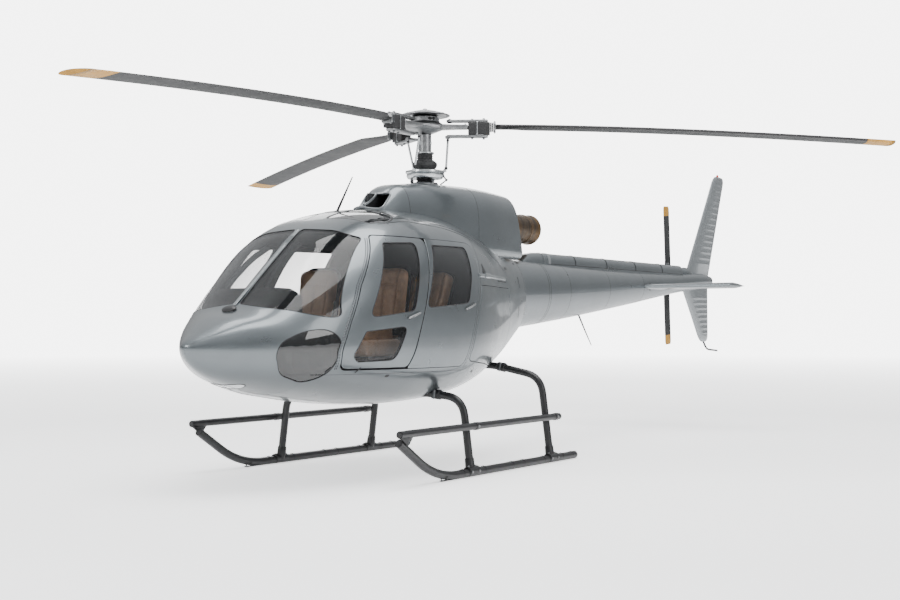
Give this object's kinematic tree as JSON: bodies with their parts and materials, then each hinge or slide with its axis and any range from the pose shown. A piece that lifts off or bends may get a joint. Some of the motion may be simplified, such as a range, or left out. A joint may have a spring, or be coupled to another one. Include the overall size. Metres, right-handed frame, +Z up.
{
  "type": "light helicopter",
  "caption": "Light single-engine helicopter: glazed cabin with opening doors, tubular skid gear, slim tail boom with fins and tailplane, turning main and tail rotors.",
  "frame": {"origin": "centre of the bounding box's base, on the ground under the rotor mast's rear side", "axes": "+X to port, -Y towards the nose, +Z up"},
  "size_m": [7.7847, 12.0569, 3.4153],
  "materials": {
    "silver_paint": "metallic gloss",
    "cabin_glass": "clear, lightly tinted",
    "black_enamel": "satin",
    "blade_grey": "satin",
    "head_steel": "machined",
    "exhaust_bronze": "heat tinted",
    "tan_leather": "soft grain",
    "cabin_trim": "matt",
    "red_lens": "ribbed lens"
  },
  "bodies": {
    "airframe": {"cabin_frame": "silver_paint", "belly_pan": "silver_paint", "rear_fuselage": "silver_paint", "cabin_floor": "cabin_trim", "rear_bulkhead": "cabin_trim", "console": "cabin_trim", "seat_pilot": "tan_leather", "seat_copilot": "tan_leather", "rear_bench": "tan_leather", "windshield_left": "cabin_glass", "windshield_right": "cabin_glass", "roof_window_left": "cabin_glass", "roof_window_right": "cabin_glass", "chin_window_left": "cabin_glass", "chin_window_right": "cabin_glass", "door_rear_left": "silver_paint", "door_rear_right": "silver_paint", "door_rear_window_left": "cabin_glass", "door_rear_window_right": "cabin_glass", "cowl_front": "silver_paint", "cowl_middle": "silver_paint", "cowl_rear": "silver_paint", "engine_block": "head_steel", "gearbox_block": "head_steel", "exhaust_pipe": "exhaust_bronze", "tail_boom": "silver_paint", "driveshaft_fairing": "silver_paint", "tailplane": "silver_paint", "fin_upper": "silver_paint", "fin_lower": "silver_paint", "beacon": "red_lens", "tail_skid": "black_enamel", "tail_gearbox": "head_steel", "swashplate_fixed": "head_steel", "cross_tube_front": "black_enamel", "cross_tube_rear": "black_enamel", "skid_left": "black_enamel", "skid_right": "black_enamel", "step_left": "black_enamel", "step_right": "black_enamel"},
    "main_rotor": {"rotor_mast": "head_steel", "rotor_star": "head_steel", "rotor_cap": "head_steel", "swashplate_turning": "head_steel", "blade_sleeve_1": "head_steel", "blade_sleeve_2": "head_steel", "blade_sleeve_3": "head_steel", "main_blade_1": "blade_grey", "main_blade_2": "blade_grey", "main_blade_3": "blade_grey"},
    "tail_rotor": {"tail_rotor_hub": "head_steel", "tail_rotor_blades": "blade_grey"},
    "door_front_left": {"door_front_left": "silver_paint", "door_front_upper_window_left": "cabin_glass", "door_front_lower_window_left": "cabin_glass"},
    "door_front_right": {"door_front_right": "silver_paint", "door_front_upper_window_right": "cabin_glass", "door_front_lower_window_right": "cabin_glass"},
    "baggage_door_left": {"baggage_door_left": "silver_paint"},
    "baggage_door_right": {"baggage_door_right": "silver_paint"}
  },
  "joints": [
    {"name": "main_rotor_turn", "type": "hinge", "parent": "airframe", "child": "main_rotor", "pos_m": [0, -1.645, 3], "axis": [0, 0, -1], "continuous": true},
    {"name": "tail_rotor_turn", "type": "hinge", "parent": "airframe", "child": "tail_rotor", "pos_m": [-0.25, 4.605, 1.96], "axis": [1, 0, 0], "continuous": true},
    {"name": "door_front_left_swing", "type": "hinge", "parent": "airframe", "child": "door_front_left", "pos_m": [0.76, -3.475, 2.03], "axis": [0.0325, -0.447, -0.894], "range_deg": [0, 80]},
    {"name": "door_front_right_swing", "type": "hinge", "parent": "airframe", "child": "door_front_right", "pos_m": [-0.76, -3.475, 2.03], "axis": [0.0325, 0.447, 0.894], "range_deg": [0, 80]},
    {"name": "baggage_door_left_lift", "type": "hinge", "parent": "airframe", "child": "baggage_door_left", "pos_m": [0.885, -2.005, 1.7], "axis": [0.2174, -0.9761, 0], "range_deg": [0, 100]},
    {"name": "baggage_door_right_lift", "type": "hinge", "parent": "airframe", "child": "baggage_door_right", "pos_m": [-0.885, -2.005, 1.7], "axis": [0.2174, 0.9761, 0], "range_deg": [0, 100]}
  ],
  "couplings": [
    {"joint": "tail_rotor_turn", "follows": "main_rotor_turn", "ratio": 5.35}
  ]
}
